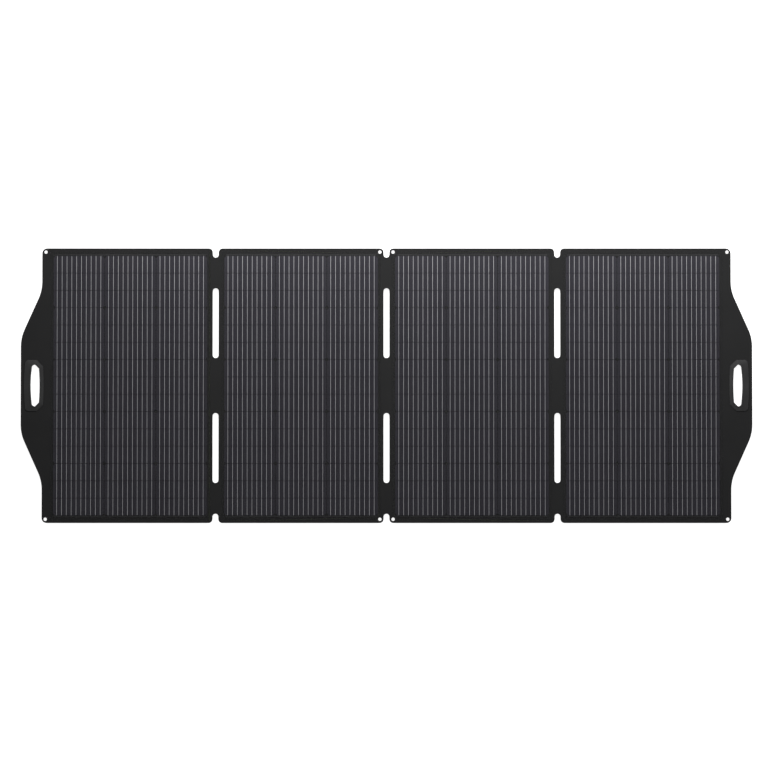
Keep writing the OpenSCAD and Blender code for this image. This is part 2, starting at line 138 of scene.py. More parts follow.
class Shader:
    """A node material. Its textures read object coordinates, so they have their real size."""

    def __init__(self, name, **sockets):
        self.material = bpy.data.materials.new(name)
        self.material.use_nodes = True
        self.tree = self.material.node_tree
        self.bsdf = self.tree.nodes["Principled BSDF"]
        for socket, value in sockets.items():
            self.bsdf.inputs[socket.replace("_", " ")].default_value = value
        self.place = self.node("ShaderNodeTexCoord").outputs["Object"]

    def node(self, kind, inputs=(), **settings):
        made = self.tree.nodes.new(kind)
        for key, value in settings.items():
            setattr(made, key, value)
        for socket, value in dict(inputs).items():
            if isinstance(value, bpy.types.NodeSocket):
                self.tree.links.new(value, made.inputs[socket])
            else:
                made.inputs[socket].default_value = value
        return made

    def noise(self, scale, detail=3, stretch=(1, 1, 1)):
        """Soft noise from 0 to 1; scale is in features per metre."""
        place = self.node("ShaderNodeMapping", {"Vector": self.place, "Scale": stretch})
        inputs = {"Vector": place.outputs[0], "Scale": scale, "Detail": detail, "Roughness": 0.55}
        return self.node("ShaderNodeTexNoise", inputs).outputs[0]

    def math(self, operation, *values):
        return self.node("ShaderNodeMath", dict(enumerate(values)), operation=operation).outputs[0]

    def blend_colours(self, factor, first, second):
        mixer = self.node("ShaderNodeMix", {"Factor": factor}, data_type="RGBA")
        for socket, value in ((6, first), (7, second)):
            if isinstance(value, bpy.types.NodeSocket):
                self.tree.links.new(value, mixer.inputs[socket])
            else:
                mixer.inputs[socket].default_value = (*value, 1)
        return mixer.outputs[2]

    def colour(self, factor, first, second):
        self.tree.links.new(self.blend_colours(factor, first, second), self.bsdf.inputs["Base Color"])

    def rough(self, factor, low, high):
        spread = self.node("ShaderNodeMapRange", {"Value": factor, "To Min": low, "To Max": high})
        self.tree.links.new(spread.outputs[0], self.bsdf.inputs["Roughness"])

    def bump(self, height, depth):
        """Adds relief of this depth in metres, on top of any that is there."""
        inputs = {"Height": height, "Strength": 1.0, "Distance": depth}
        socket = self.bsdf.inputs["Normal"]
        if socket.is_linked:
            inputs["Normal"] = socket.links[0].from_socket
        self.tree.links.new(self.node("ShaderNodeBump", inputs).outputs[0], socket)

    def wave(self, axis, pitch):
        """A sine along one axis, from -1 to 1, with this pitch in metres."""
        parts = self.node("ShaderNodeSeparateXYZ", {0: self.place})
        return self.math("SINE", self.math("MULTIPLY", parts.outputs[axis], 2 * math.pi / pitch))

    def weave(self, pitch):
        """Plain weave: from 0 between threads to 1 on top of them, and the thread's direction as 0 or 1."""
        over = self.math("MULTIPLY", self.wave(0, pitch), self.wave(1, pitch))
        return self.math("ABSOLUTE", over), self.math("GREATER_THAN", over, 0.0)


def cloth_material(name, dark, light, pitch, depth, sheen):
    cloth = Shader(name, Sheen_Weight=sheen, Sheen_Roughness=0.5, Specular_IOR_Level=0.06)
    top, warp = cloth.weave(pitch)
    patches = cloth.noise(9, 4)
    threads = cloth.noise(900, 2)
    tone = cloth.math("ADD", cloth.math("MULTIPLY", patches, 0.55), cloth.math("MULTIPLY", threads, 0.25))
    # Threads that run one way are painted lighter: a painted highlight that stands for the sheen along them.
    # The patches and thread tones are random.
    cloth.colour(cloth.math("ADD", tone, cloth.math("MULTIPLY", warp, 0.12)), dark, light)
    cloth.rough(threads, 0.58, 0.8)
    cloth.bump(top, depth)
    cloth.bump(patches, 0.0004)
    return cloth.material


def cell_material():
    """Dark silicon with fine printed fingers and a slightly different tone on each wafer."""
    cell = Shader("cell_silicon", Coat_Weight=0.3, Coat_Roughness=0.3, Specular_IOR_Level=0.55,
                  Specular_Tint=(0.86, 0.82, 0.98, 1.0))
    wafer = (0.184, 0.062, 1.0)
    grid = cell.node("ShaderNodeVectorMath", {0: cell.place, 1: wafer}, operation="SNAP")
    tone = cell.node("ShaderNodeTexWhiteNoise", {0: grid.outputs[0]}, noise_dimensions="3D").outputs[0]
    finger = cell.math("GREATER_THAN", cell.wave(1, 0.0013), 0.93)
    grain = cell.noise(60, 4)
    base = cell.blend_colours(
        cell.math("ADD", cell.math("MULTIPLY", tone, 0.35), cell.math("MULTIPLY", grain, 0.4)),
        (0.0112, 0.0106, 0.0148),
        (0.0174, 0.0166, 0.0224),
    )
    cell.colour(cell.math("MULTIPLY", finger, 0.25), base, (0.04, 0.04, 0.044))
    cell.rough(grain, 0.31, 0.4)
    cell.bump(grain, 0.00002)
    return cell.material


def metal_material(name, dark, light, low, high, metallic, grain=(1, 1, 1)):
    metal = Shader(name, Metallic=metallic)
    brushed = metal.noise(700, 3, grain)
    metal.colour(metal.math("ADD", metal.math("MULTIPLY", brushed, 0.6), metal.noise(14, 3)), dark, light)
    metal.rough(brushed, low, high)
    metal.bump(brushed, 0.00002)
    return metal.material


def plastic_material(name, dark, light, low, high, spark=1400, depth=0.00003):
    """Moulded plastic with a fine spark texture and faint handling marks."""
    plastic = Shader(name, Specular_IOR_Level=0.25)
    texture = plastic.noise(spark, 2)
    marks = plastic.noise(45, 6, (1, 0.35, 1))
    plastic.colour(plastic.math("MULTIPLY", marks, plastic.math("ADD", texture, 0.5)), dark, light)
    plastic.rough(marks, low, high)
    plastic.bump(texture, depth)
    return plastic.material


def powder_coat_material():
    coat = Shader("powder_coat", Specular_IOR_Level=0.5)
    peel = coat.noise(900, 2)
    scuffs = coat.noise(70, 6, (1, 0.15, 1))
    worn = coat.math("GREATER_THAN", scuffs, 0.68)
    coat.colour(coat.math("MULTIPLY", worn, coat.noise(400, 2)), (0.018, 0.018, 0.019), (0.09, 0.09, 0.092))
    coat.rough(peel, 0.38, 0.55)
    coat.bump(peel, 0.00006)
    return coat.material


def film_material():
    """Clear laminate. Alpha is plain, so the cells show through."""
    film = Shader("clear_film", Alpha=0.06, Specular_IOR_Level=0.5)
    dimples = film.noise(1100, 2)
    film.colour(film.noise(6, 2), (0.035, 0.035, 0.038), (0.05, 0.05, 0.054))
    film.rough(dimples, 0.3, 0.42)
    film.bump(dimples, 0.00001)
    return film.material


def board_material():
    board = Shader("glass_fibre", Specular_IOR_Level=0.5)
    top, warp = board.weave(0.0024)
    board.colour(board.math("MULTIPLY", top, 0.6), (0.2, 0.24, 0.13), (0.32, 0.36, 0.2))
    board.rough(top, 0.35, 0.5)
    board.bump(warp, 0.00003)
    return board.material


def paint(node, material):
    """Gives a CAD node that stays in view its material."""
    nodes[node].data.materials.clear()
    nodes[node].data.materials.append(material)


# ---------- mesh helpers ----------

def finish_piece(name, bm, material, body=None, sharp=35, back_material=None):
    """Makes an object of bm, smooth but for its sharp edges, and rides it on a body."""
    mesh = bpy.data.meshes.new(name)
    if back_material:
        bm.normal_update()
        for face in bm.faces:
            face.material_index = int(face.normal.z < -0.3)
    bm.to_mesh(mesh)
    bm.free()
    mesh.shade_smooth()
    mesh.set_sharp_from_angle(angle=math.radians(sharp))
    mesh.materials.append(material)
    if back_material:
        mesh.materials.append(back_material)
    piece = bpy.data.objects.new(name, mesh)
    bpy.context.scene.collection.objects.link(piece)
    if body:
        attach(piece, body)
    return piece


def softened(node, width, material, body):
    """A copy of a CAD node's shape with its hard edges rounded by width, in metres."""
    bm = bmesh.new()
    bm.from_mesh(nodes[node].data)
    bmesh.ops.remove_doubles(bm, verts=bm.verts, dist=2e-6)
    bmesh.ops.dissolve_degenerate(bm, edges=bm.edges, dist=1e-6)
    bmesh.ops.dissolve_limit(bm, angle_limit=math.radians(1), verts=bm.verts, edges=bm.edges)
    hard = [e for e in bm.edges if len(e.link_faces) == 2 and e.calc_face_angle() > math.radians(38)]
    bmesh.ops.bevel(bm, geom=hard, offset=width, segments=2, profile=0.5, affect="EDGES", clamp_overlap=True)
    bmesh.ops.triangulate(bm, faces=[f for f in bm.faces if len(f.verts) > 4])
    piece = finish_piece(node + "_finished", bm, material, body)
    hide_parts(node)
    return piece


def lathe(bm, profile, place, axis, steps):
    """Turns a closed profile of (radius, height) points, in millimetres, about an axis through place."""
    rings = []
    for i in range(steps):
        angle = 2 * math.pi * i / steps
        ring = []
        for radius, height in profile:
            around = (radius * math.cos(angle), radius * math.sin(angle))
            at = (*around, height) if axis == "Z" else (height, *around)
            ring.append(bm.verts.new((Vector(at) + Vector(place)) * MM))
        rings.append(ring)
    for i, ring in enumerate(rings):
        following = rings[(i + 1) % steps]
        for j in range(len(profile)):
            k = (j + 1) % len(profile)
            bm.faces.new((ring[j], following[j], following[k], ring[k]))


def box_between(bm, low, high, taper=0.0):
    """A box between two corners in millimetres; its top is narrower by taper on each long side."""
    bottom = [(low[0], low[1]), (high[0], low[1]), (high[0], high[1]), (low[0], high[1])]
    top = [(low[0] + taper, low[1] + taper), (high[0] - taper, low[1] + taper),
           (high[0] - taper, high[1] - taper), (low[0] + taper, high[1] - taper)]
    lower = [bm.verts.new(Vector((x, y, low[2])) * MM) for x, y in bottom]
    upper = [bm.verts.new(Vector((x, y, high[2])) * MM) for x, y in top]
    bm.faces.new(lower[::-1])
    bm.faces.new(upper)
    for i in range(4):
        j = (i + 1) % 4
        bm.faces.new((lower[i], lower[j], upper[j], upper[i]))


def stitch(bm, at, along, out):
    """One raised thread stitch centred at a point in millimetres."""
    length, radius, sides = 3.2, 0.42, 6
    side = along.cross(out)
    rings = []
    for t, grow in ((-1, 0.35), (-0.7, 0.85), (0, 1.0), (0.7, 0.85), (1, 0.35)):
        middle = at + along * (t * length / 2) + out * (radius * (0.5 - 0.7 * t * t))
        ring = []
        for k in range(sides):
            angle = 2 * math.pi * k / sides
            offset = (side * math.cos(angle) + out * math.sin(angle)) * radius * grow
            ring.append(bm.verts.new((middle + offset) * MM))
        rings.append(ring)
    for first, second in zip(rings, rings[1:]):
        for k in range(sides):
            m = (k + 1) % sides
            bm.faces.new((first[k], first[m], second[m], second[k]))
    bm.faces.new(rings[0][::-1])
    bm.faces.new(rings[-1])


# ---------- outlines, in millimetres ----------

def round_corner(before, corner, after, radius):
    """The points of an arc of this radius that rounds a corner."""
    steps = 7
    u = (before - corner).normalized()
    v = (after - corner).normalized()
    half = math.acos(max(-1.0, min(1.0, u.dot(v)))) / 2
    centre = corner + (u + v).normalized() * (radius / math.sin(half))
    first = corner + u * (radius / math.tan(half)) - centre
    last = corner + v * (radius / math.tan(half)) - centre
    start = math.atan2(first.y, first.x)
    turn = (math.atan2(last.y, last.x) - start + 3 * math.pi) % (2 * math.pi) - math.pi
    angles = [start + turn * i / steps for i in range(steps + 1)]
    return [centre + radius * Vector((math.cos(a), math.sin(a))) for a in angles]


def rounded(corners):
    """A closed outline from (x, y, radius) corners."""
    points = []
    for i, (x, y, radius) in enumerate(corners):
        here = Vector((x, y))
        before = Vector(corners[i - 1][:2])
        after = Vector(corners[(i + 1) % len(corners)][:2])
        points += round_corner(before, here, after, radius) if radius > 0 else [here]
    kept = [p for i, p in enumerate(points) if (p - points[i - 1]).length > 1e-4]
    return [(p.x, p.y) for p in kept]


def mm_box(node):
    """A node's lowest and highest corners, in millimetres."""
    low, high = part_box(node)
    return low / MM, high / MM


class Panel:
    """Places and sizes of the panel, in millimetres, read from the frame where a node shows them."""

    pitch = mm_box("web_3")[0].x / 2 + mm_box("web_3")[1].x / 2
    half_h = mm_box("back_cloth_2")[1].y
    side = 1234.0
    flap = mm_box("flap_cover_right")[1].x
    flap_root, flap_tip, flap_r = 341.0, 172.0, 150.0
    back = mm_box("back_cloth_2")[0].z
    web_back = mm_box("face_cloth_2")[0].z
    face = mm_box("face_cloth_2")[1].z
    film = mm_box("film_2")[1].z
    board_edge = mm_box("board_4")[1].x
    web_half = mm_box("back_cloth_3")[0].x
    slot_half, slot_length, slot_y = 10.5, 250.0, 223.5
    notch_depth, mouth_r, corner_r = 33.0, 14.0, 18.0
    grip = 1258.8
    grip_half, grip_out, grip_in, grip_chamfer = 74.5, 11.7, 14.4, 14.0
    collar = 3.3        # how much wider the cloth's hand hole is than the grip's, all round
    eyelet_hole = 6.8
    folds = (-pitch, 0.0, pitch)


def silhouette():
    """The outer outline, counter-clockwise, with the notches at both ends of the folds."""
    p = Panel
    corners = []
    for end in (-1, 1):
        corners.append((end * p.side, end * p.half_h, p.corner_r))
        for fold in p.folds:
            at, deep = -end * fold, end * (p.half_h - p.notch_depth)
            near, far = at + end * p.slot_half, at - end * p.slot_half
            corners.append((near, end * p.half_h, p.mouth_r))
            corners.append((near, deep, p.slot_half))
            corners.append((far, deep, p.slot_half))
            corners.append((far, end * p.half_h, p.mouth_r))
        corners.append((-end * p.side, end * p.half_h, p.corner_r))
        corners.append((-end * p.side, end * p.flap_root, p.flap_r))
        corners.append((-end * p.flap, end * p.flap_tip, p.flap_r))
        corners.append((-end * p.flap, -end * p.flap_tip, p.flap_r))
        corners.append((-end * p.side, -end * p.flap_root, p.flap_r))
    return rounded(corners)


def hand_hole(side, grow):
    """The bowed loop of the hand hole, moved out by grow, at one side (-1 or 1) of the panel."""
    p = Panel
    half, outer, inner = p.grip_half + grow, p.grip_out + grow, -p.grip_in - grow
    chamfer, low = p.grip_chamfer + 0.2 * grow, half - p.grip_chamfer - 0.4 * grow
    out_r, chamfer_r, in_r = 11.0, 3.0, 4.0
    out_bow, in_bow = 4.6, 2.4
    corners = [(inner, low, in_r), (inner + chamfer, half, chamfer_r), (outer, half, out_r)]
    for i in range(-3, 4):
        corners.append((outer + out_bow * (1 - (i / 4) ** 2), -i / 4 * (half - out_r), 0))
    corners += [(outer, -half, out_r), (inner + chamfer, -half, chamfer_r), (inner, -low, in_r)]
    for i in range(-2, 3):
        corners.append((inner - in_bow * (1 - (i / 3) ** 2), i / 3 * low, 0))
    return [(side * (p.grip + u), v) for u, v in rounded(corners)]


def circle(x, y, radius):
    steps = 28
    angles = [2 * math.pi * i / steps for i in range(steps)]
    return [(x + radius * math.cos(a), y + radius * math.sin(a)) for a in angles]


def slot_outline(fold, end):
    """A slot with round ends, in the upper (1) or lower (-1) half of a fold."""
    w = Panel.slot_half
    low = end * Panel.slot_y - Panel.slot_length / 2
    high = low + Panel.slot_length
    return rounded([(fold - w, low, w), (fold + w, low, w), (fold + w, high, w), (fold - w, high, w)])


def holes():
    """Every hole through the cloth: the slots, the hand holes and the corner holes."""
    p = Panel
    loops = [slot_outline(fold, end) for fold in p.folds for end in (-1, 1)]
    for side in (-1, 1):
        loops.append(hand_hole(side, p.collar))
    for x, y in eyelet_places():
        loops.append(circle(x, y, p.eyelet_hole))
    return loops


def eyelet_places():
    """The middles of the eight corner holes."""
    places = []
    for n in range(1, 5):
        low, high = mm_box(f"eyelets_{n}")
        radius = (high.x - low.x) / 2
        x = (low.x + high.x) / 2
        places += [(x, low.y + radius), (x, high.y - radius)]
    return places


def signed_area(loop):
    return sum(a[0] * b[1] - b[0] * a[1] for a, b in zip(loop, loop[1:] + loop[:1])) / 2


def moved_in(loop, distance):
    """The loop moved to its left by distance, which is into the cloth on a counter-clockwise outline."""
    moved = []
    for i, point in enumerate(loop):
        here = Vector(point)
        before = (here - Vector(loop[i - 1])).normalized()
        after = (Vector(loop[(i + 1) % len(loop)]) - here).normalized()
        normal = Vector((-before.y - after.y, before.x + after.x)).normalized()
        moved.append(tuple(here + normal * (distance / max(0.5, normal.dot(Vector((-before.y, before.x)))))))
    return moved


def inside(points, loop):
    """Which points lie inside the loop."""
    x, y = points[:, 0], points[:, 1]
    within = np.zeros(len(points), bool)
    for (x0, y0), (x1, y1) in zip(loop, loop[1:] + loop[:1]):
        crosses = (y0 > y) != (y1 > y)
        if y0 != y1:
            within ^= crosses & (x < (x1 - x0) * (y - y0) / (y1 - y0) + x0)
    return within


def distance_to(points, loops):
    """Each point's distance to the nearest edge of the loops."""
    best = np.full(len(points), 1e9)
    for loop in loops:
        for a, b in zip(loop, loop[1:] + loop[:1]):
            a, b = np.array(a), np.array(b)
            along = b - a
            t = np.clip(((points - a) @ along) / max(along @ along, 1e-12), 0, 1)
            best = np.minimum(best, np.linalg.norm(points - a - t[:, None] * along, axis=1))
    return best


def triangulate(outline, cuts, extra_loops, lines=(), points=()):
    """Triangles that fill an outline less its cuts, and keep the extra loops and lines as edges."""
    places, edges = [], []
    for loop in [outline, *cuts, *extra_loops]:
        first = len(places)
        places += [Vector(p) for p in loop]
        edges += [(first + i, first + (i + 1) % len(loop)) for i in range(len(loop))]
    for start, end in lines:
        edges.append((len(places), len(places) + 1))
        places += [Vector(start), Vector(end)]
    places += [Vector(p) for p in points]
    found = delaunay_2d_cdt(places, edges, [], 0, 1e-4)
    corner = np.array([tuple(v) for v in found[0]])
    faces = np.array([tuple(f) for f in found[2]])
    middle = corner[faces].mean(1)
    kept = inside(middle, outline)
    for cut in cuts:
        kept &= ~inside(middle, cut)
    faces = faces[kept]
    a, b, c = (corner[faces[:, i]] for i in range(3))
    turned = (b[:, 0] - a[:, 0]) * (c[:, 1] - a[:, 1]) - (b[:, 1] - a[:, 1]) * (c[:, 0] - a[:, 0])
    faces[turned < 0] = faces[turned < 0][:, ::-1]
    return corner, faces[np.abs(turned) > 1e-6]


def rim(distance, radius):
    """How far a surface drops towards a rim that is rounded by radius."""
    t = np.clip(distance / radius, 0, 1)
    return radius * (1 - np.sqrt(np.clip(1 - (1 - t) ** 2, 0, 1)))


def slab_mesh(corner, faces, top, bottom):
    """A closed mesh between two height maps over the triangles."""
    bm = bmesh.new()
    used = sorted(set(faces.ravel()))
    upper = {i: bm.verts.new(Vector((*corner[i], top[i])) * MM) for i in used}
    lower = {i: bm.verts.new(Vector((*corner[i], bottom[i])) * MM) for i in used}
    edges = []
    for a, b, c in faces:
        bm.faces.new((upper[a], upper[b], upper[c]))
        bm.faces.new((lower[c], lower[b], lower[a]))
        edges += [(a, b), (b, c), (c, a)]
    known = set(edges)
    for a, b in edges:
        if (b, a) not in known:
            bm.faces.new((lower[a], lower[b], upper[b], upper[a]))
    bmesh.ops.remove_doubles(bm, verts=bm.verts, dist=5e-6)
    bmesh.ops.dissolve_degenerate(bm, edges=bm.edges, dist=1e-6)
    return bm


# ---------- cloth: section covers, hinge webs and handle flaps ----------

FACE_RIM = 0.4
BACK_RIM = 1.2
BEND_START, BEND_END = 1205.0, 1215.0


def cloth_triangles():
    """One triangulation of the whole panel, so that neighbouring pieces meet edge to edge."""
    p = Panel
    outline, cuts = silhouette(), holes()
    rings = []
    for distance in (0.15, FACE_RIM, 0.8, BACK_RIM):
        rings.append(moved_in(outline, distance))
        for cut in cuts:
            rings.append(moved_in(cut, -distance if signed_area(cut) > 0 else distance))
    upright = []
    for fold in p.folds:
        upright += [fold + i * p.web_half / 8 for i in range(-8, 9)]
        for side in (-1, 1):
            upright += [fold + side * (p.web_half + d) for d in (0.35, 0.8, BACK_RIM)]
    for side in (-1, 1):
        upright += [side * (BEND_START + (BEND_END - BEND_START) * i / 6) for i in range(7)]
    reach = p.half_h + 5
    lines = [((x, -reach), (x, reach)) for x in upright]
    corner, faces = triangulate(outline, cuts, rings, lines)
    edge = distance_to(corner, [outline, *cuts])
    return corner, faces, edge


def cover_pieces(face_cloth, back_cloth):
    """Four section covers, three hinge webs and two flap covers, of the one cloth."""
    p = Panel
    corner, faces, edge = cloth_triangles()
    middle = corner[faces].mean(1)[:, 0]
    seam = np.min([np.abs(np.abs(corner[:, 0] - fold) - p.web_half) for fold in p.folds], axis=0)
    top = p.face - rim(edge, FACE_RIM)
    section_bottom = p.back + rim(np.minimum(edge, seam), BACK_RIM)
    web_bottom = p.web_back + rim(edge, p.face - p.web_back - FACE_RIM)

    def part(low, high, bottom):
        return slab_mesh(corner, faces[(middle > low) & (middle < high)], top, bottom)

    def declare(piece, low, high, *rests_on):
        cut = np.append(corner, np.zeros((len(corner), 1)), 1)[faces[(middle > low) & (middle < high)]]
        low, high = max(low, -p.flap), min(high, p.flap)

    limits = [(-BEND_START, -p.pitch - p.web_half), (-p.pitch + p.web_half, -p.web_half),
              (p.web_half, p.pitch - p.web_half), (p.pitch + p.web_half, BEND_START)]
    for n, (low, high) in enumerate(limits, 1):
        cover = finish_piece(f"section_cover_{n}", part(low, high, section_bottom), face_cloth,
                             f"section_{n}", back_material=back_cloth)
        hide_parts(f"face_cloth_{n}", f"back_cloth_{n}")
        declare(cover, low, high, f"board_{n}")
    for side, low, high in (("left", -2 * p.flap, -BEND_START), ("right", BEND_START, 2 * p.flap)):
        flap = finish_piece(f"flap_cloth_{side}", part(low, high, section_bottom), face_cloth,
                            back_material=back_cloth)
        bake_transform(flap)
        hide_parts(f"flap_cover_{side}")
        declare(flap, low, high, f"flap_core_{side}")
    for name, low, high, bodies, span in web_parts():
        web = finish_piece("web_cloth_" + name, part(low, high, web_bottom), face_cloth,
                           back_material=back_cloth)
        bend_across(web)
        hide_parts("web_" + name[0])
        declare(web, low, high, f"board_{name[0]}")


def web_parts():
    """Name, X range, the two bodies and the X places between which it bends, for each piece of web."""
    p = Panel
    w = p.web_half
    crease = 6.0
    return [
        ("1", -p.pitch - w, -p.pitch + w, ("section_1", "section_2"), (-p.pitch - w, -p.pitch + w)),
        ("2_near", -w, 0.0, ("section_2", "spine"), (-w, -crease)),
        ("2_far", 0.0, w, ("spine", "section_3"), (crease, w)),
        ("3", p.pitch - w, p.pitch + w, ("section_3", "section_4"), (p.pitch - w, p.pitch + w)),
    ]


def bend_across(piece):
    """Bakes a piece's placement into its mesh, which stays flat."""
    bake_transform(piece)


def drawn_in(start, end, gap):
    """The span from start to end, shortened by gap at each end that isn't at the panel's middle."""
    return (start + gap if start else start), (end - gap if end else end)


def jumper_cables(rubber):
    """Two flat cables that cross behind the middle of each web."""
    half_w, thick, apart, steps = 6.0, 1.0, 30.0, 16
    gap = Panel.web_half - (mm_box("web_3")[1].x - Panel.pitch)
    z = Panel.web_back
    profile = [(-1, -0.5), (-0.92, -0.85), (-0.75, -1), (0.75, -1), (0.92, -0.85), (1, -0.5),
               (1, -0.15), (0.92, 0), (-0.92, 0), (-1, -0.15)]
    for name, low, high, bodies, span in web_parts():
        start, end = drawn_in(low, high, gap)
        bm = bmesh.new()
        for y in (-apart, apart):
            rings = []
            for i in range(steps + 1):
                x = start + (end - start) * i / steps
                ring = [Vector((x, y + half_w * u, z + thick * v)) * MM for u, v in profile]
                rings.append([bm.verts.new(point) for point in ring])
            for first, second in zip(rings, rings[1:]):
                for k in range(len(profile)):
                    m = (k + 1) % len(profile)
                    bm.faces.new((first[k], second[k], second[m], first[m]))
            bm.faces.new(rings[0])
            bm.faces.new(rings[-1][::-1])
        bmesh.ops.recalc_face_normals(bm, faces=bm.faces)
        cable = finish_piece("jumper_cable_" + name, bm, rubber)
        bend_across(cable)
        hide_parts("web_" + name[0])


# ---------- cells ----------

def ribbon_pieces(tinned, bus_black):
    """Each wafer's own lengths of ribbon, and the dark bus ribbons across the ends of the columns."""
    columns, wafers, count = 3, 15, 10
    wafer_pitch, column_pitch, cell_w = 62.0, 184.0, 182.0
    ribbon_pitch, half_w, half_l, taper = cell_w / (count + 0.5), 0.6, 29.9, 0.18
    bus_w = 5.0
    for n in range(1, 5):
        low, high = mm_box(f"ribbons_{n}")
        middle = (low.x + high.x) / 2
        bm = bmesh.new()
        for column in range(columns):
            for ribbon in range(count):
                x = middle + (column - (columns - 1) / 2) * column_pitch
                x += (ribbon - (count - 1) / 2) * ribbon_pitch
                for wafer in range(wafers):
                    y = (wafer - (wafers - 1) / 2) * wafer_pitch
                    box_between(bm, (x - half_w, y - half_l, low.z), (x + half_w, y + half_l, high.z), taper)
        wires = finish_piece(f"ribbon_wires_{n}", bm, tinned, f"section_{n}")
        bm = bmesh.new()
        for y0, y1 in ((low.y, low.y + bus_w), (high.y - bus_w, high.y)):
            box_between(bm, (low.x, y0, low.z), (high.x, y1, high.z), taper)
        bars = finish_piece(f"bus_ribbons_{n}", bm, bus_black, f"section_{n}")
        for piece in (wires, bars):
            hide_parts(f"ribbons_{n}")


# ---------- fittings ----------

def eyelet_pieces(enamel):
    """Rolled rings, with a rounded flange on both sides."""
    places = eyelet_places()
    bore, barrel, flange = 6.0, 6.8, 7.5
    for n in range(1, 5):
        low, high = mm_box(f"eyelets_{n}")
        bottom, top = low.z, high.z
        profile = [
            (bore, bottom + 0.5), (bore + 0.15, bottom + 0.15), (bore + 0.6, bottom),
            (flange - 0.25, bottom + 0.1), (flange, bottom + 0.35), (flange - 0.1, bottom + 0.6),
            (barrel, bottom + 0.6), (barrel, top - 0.6), (flange - 0.1, top - 0.6),
            (flange, top - 0.35), (flange - 0.25, top - 0.1), (bore + 0.6, top),
            (bore + 0.15, top - 0.15), (bore, top - 0.5),
        ]
        bm = bmesh.new()
        for x, y in places[2 * n - 2: 2 * n]:
            lathe(bm, profile, (x, y, 0), "Z", 40)
        bmesh.ops.recalc_face_normals(bm, faces=bm.faces)
        body = {1: "flap_left", 4: "flap_right"}.get(n, f"section_{n}")
        rings = finish_piece(f"eyelet_rings_{n}", bm, enamel, body)
        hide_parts(f"eyelets_{n}")


def leg_feet_pieces(rubber):
    """Ribbed rubber sleeves on the foot bar of each leg."""
    rod_r, length, ribs, plain = 4.0, 64.0, 11, 4.0
    rib = (length - 2 * plain) / ribs
    for n in range(1, 5):
        low, high = mm_box(f"leg_feet_{n}")
        outer = (high.z - low.z) / 2
        y, z = (low.y + high.y) / 2, (low.z + high.z) / 2
        profile = [(rod_r, 0), (outer - 0.5, 0), (outer, 0.8)]
        for i in range(ribs):
            x = plain + i * rib
            profile += [(outer, x), (outer - 0.45, x + 0.5), (outer - 0.45, x + 1.4), (outer, x + 1.9)]
        profile += [(outer, length - 0.8), (outer - 0.5, length), (rod_r, length)]
        bm = bmesh.new()
        for start in (low.x, high.x - length):
            lathe(bm, profile, (start, y, z), "X", 36)
        bmesh.ops.recalc_face_normals(bm, faces=bm.faces)
        feet = finish_piece(f"foot_sleeves_{n}", bm, rubber, f"leg_{n}")
        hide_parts(f"leg_feet_{n}")


def rivet_pieces(steel):
    """Domed rivets through the base plates of the pivot blocks and keepers."""
    head_r, head_h, axis_r, plate_t, plate_half = 2.1, 0.9, 0.02, 2.4, 15.0
    outer_lug, block_w = 2.0, 13.0
    pivot_step, keeper_x, keeper_step = 11.5, 9.0, 12.0
    dome = [(axis_r, -head_h), (head_r * 0.5, -head_h * 0.88), (head_r * 0.85, -head_h * 0.5), (head_r, 0),
            (axis_r, 0)]
    corners = [(side, end) for side in (-1, 1) for end in (-1, 1)]
    for n in range(1, 5):
        low, high = mm_box(f"leg_mounts_{n}")
        middle = (low.x + high.x) / 2
        pivot_x = (high.x - low.x) / 2 - outer_lug - block_w / 2
        pivot_y, keeper_y = high.y - plate_half, low.y + plate_half
        places = [(middle + side * pivot_x, pivot_y + end * pivot_step) for side, end in corners]
        places += [(middle + side * keeper_x, keeper_y + end * keeper_step) for side, end in corners]
        bm = bmesh.new()
        for x, y in places:
            lathe(bm, dome, (x, y, high.z - plate_t), "Z", 20)
        bmesh.ops.recalc_face_normals(bm, faces=bm.faces)
        rivets = finish_piece(f"mount_rivets_{n}", bm, steel, f"section_{n}")
        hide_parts(f"leg_mounts_{n}")


def lid_rib_piece(moulded):
    """Low ribs across the junction box lid."""
    low, high = mm_box("junction_lid")
    height, sunk, half_w, margin, pitch, taper = 0.45, 0.02, 1.6, 16.0, 9.0, 0.4
    bm = bmesh.new()
    for i in range(-4, 5):
        x = (low.x + high.x) / 2 + i * pitch
        root = (x - half_w, low.y + margin, low.z + sunk)
        crest = (x + half_w, high.y - margin, low.z - height)
        box_between(bm, root, crest, taper)
    bmesh.ops.recalc_face_normals(bm, faces=bm.faces)
    ribs = finish_piece("junction_lid_ribs", bm, moulded, "section_4")
    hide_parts("junction_lid")


class Pocket:
    """Places and sizes of the cable pocket, in millimetres. Its zip lies along X."""

    low, high = mm_box("cable_pocket")
    half_w, half_h = (high.x - low.x) / 2, (high.y - low.y) / 2
    x, y = (high.x + low.x) / 2, (high.y + low.y) / 2
    corner_r, hem = 16.0, 0.9
    tooth_h = 0.8
    crown = low.z + tooth_h
    zip_y = (mm_box("zip_slider")[0].y + mm_box("zip_slider")[1].y) / 2
    zip_half = half_w - corner_r


def gathers(x, y):
    """Soft folds in the pouch, from 0 to 1, at places measured from its middle."""
    across = 0.5 + 0.5 * np.sin(x / 13 + 1.7 * np.sin(y / 31) + 0.6 * np.sin(x / 47))
    return across * (0.5 + 0.5 * np.sin(y / 17 + 1.1 * np.sin(x / 23)))


